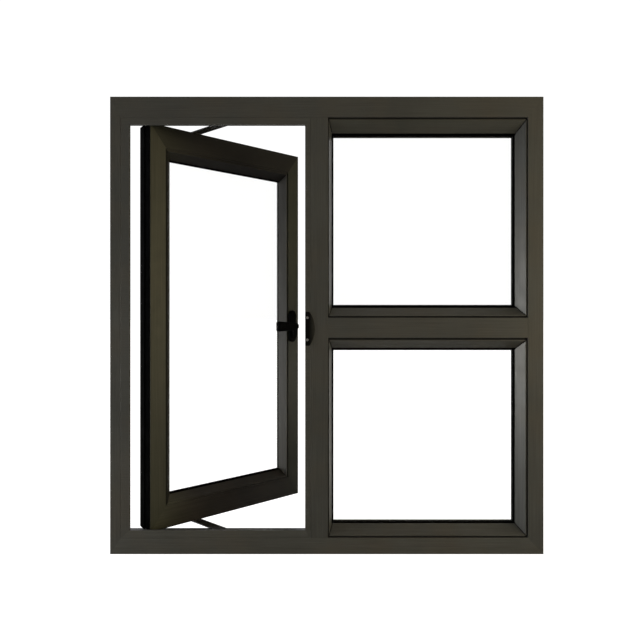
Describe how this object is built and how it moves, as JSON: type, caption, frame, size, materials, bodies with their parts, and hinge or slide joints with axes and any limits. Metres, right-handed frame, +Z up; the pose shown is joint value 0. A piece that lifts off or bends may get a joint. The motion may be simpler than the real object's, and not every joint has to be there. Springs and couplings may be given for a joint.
{
  "type": "casement window",
  "caption": "Aluminium window with a side-hung casement on friction stays beside fixed lites, mitred bars, glazing beads, double glazing, lever handle and keeper",
  "frame": {"origin": "middle of the sill's underside, half way through the frame's depth", "axes": "seen from the room +X is to the right, +Y points outdoors, +Z is up"},
  "size_m": [0.9, 0.2923, 0.95],
  "materials": {
    "frame_coat": "satin dark bronze-grey powder coat",
    "sash_coat": "satin dark bronze-grey powder coat",
    "clear_glass": "clear float",
    "black_rubber": "matt black",
    "mill_aluminium": "as cut",
    "black_nylon": "moulded",
    "black_hardware": "satin black coat over die casting",
    "stainless_steel": "brushed"
  },
  "bodies": {
    "frame": {"frame_head": "frame_coat", "frame_sill": "frame_coat", "left_jamb": "frame_coat", "right_jamb": "frame_coat", "mullion": "frame_coat", "transom": "frame_coat", "frame_corner_cleats": "mill_aluminium", "bar_connectors": "mill_aluminium", "top_stop": "frame_coat", "bottom_stop": "frame_coat", "hinge_side_stop": "frame_coat", "lock_side_stop": "frame_coat", "stop_seals": "black_rubber", "upper_top_bead": "frame_coat", "upper_bottom_bead": "frame_coat", "upper_left_bead": "frame_coat", "upper_right_bead": "frame_coat", "lower_top_bead": "frame_coat", "lower_bottom_bead": "frame_coat", "lower_left_bead": "frame_coat", "lower_right_bead": "frame_coat", "outer_glazing_stops": "frame_coat", "upper_gaskets": "black_rubber", "lower_gaskets": "black_rubber", "upper_glass": "clear_glass", "lower_glass": "clear_glass", "fixed_spacers": "black_nylon", "fixed_setting_blocks": "black_nylon", "top_track": "stainless_steel", "bottom_track": "stainless_steel", "track_studs": "stainless_steel", "frame_screws": "stainless_steel", "keeper": "black_hardware", "weep_covers": "black_nylon"},
    "stay_arms": {"top_arm": "stainless_steel", "bottom_arm": "stainless_steel", "arm_rivets": "stainless_steel"},
    "sash": {"sash_top_rail": "sash_coat", "sash_bottom_rail": "sash_coat", "sash_hinge_stile": "sash_coat", "sash_lock_stile": "sash_coat", "sash_corner_cleats": "mill_aluminium", "sash_top_bead": "sash_coat", "sash_bottom_bead": "sash_coat", "sash_hinge_bead": "sash_coat", "sash_lock_bead": "sash_coat", "sash_glass": "clear_glass", "sash_spacer": "black_nylon", "sash_gaskets": "black_rubber", "sash_setting_blocks": "black_nylon", "sash_edge_seal": "black_rubber", "top_vent_bar": "stainless_steel", "bottom_vent_bar": "stainless_steel", "sash_screws": "stainless_steel", "handle_base": "black_hardware"},
    "stay_shoes": {"top_shoe": "black_nylon", "bottom_shoe": "black_nylon"},
    "lever": {"handle_lever": "black_hardware", "handle_nose": "black_hardware", "handle_spindle": "stainless_steel"}
  },
  "joints": [
    {"name": "arm_swing", "type": "hinge", "parent": "frame", "child": "stay_arms", "pos_m": [-0.2148, 0, 0.475], "axis": [0, 0, -1], "range_deg": [-37.5, 27.5]},
    {"name": "sash_turn", "type": "hinge", "parent": "stay_arms", "child": "sash", "pos_m": [-0.29413, 0.06088, 0.475], "axis": [0, 0, 1], "range_deg": [-75, 55]},
    {"name": "shoe_turn", "type": "hinge", "parent": "sash", "child": "stay_shoes", "pos_m": [-0.37347, 0, 0.475], "axis": [0, 0, -1], "range_deg": [-37.5, 27.5]},
    {"name": "handle_turn", "type": "hinge", "parent": "sash", "child": "lever", "pos_m": [-0.07266, 0.1949, 0.468], "axis": [0.6088, -0.7934, 0], "range_deg": [0, 90]}
  ],
  "couplings": [
    {"joint": "sash_turn", "follows": "arm_swing", "ratio": 2},
    {"joint": "shoe_turn", "follows": "arm_swing", "ratio": 1}
  ]
}
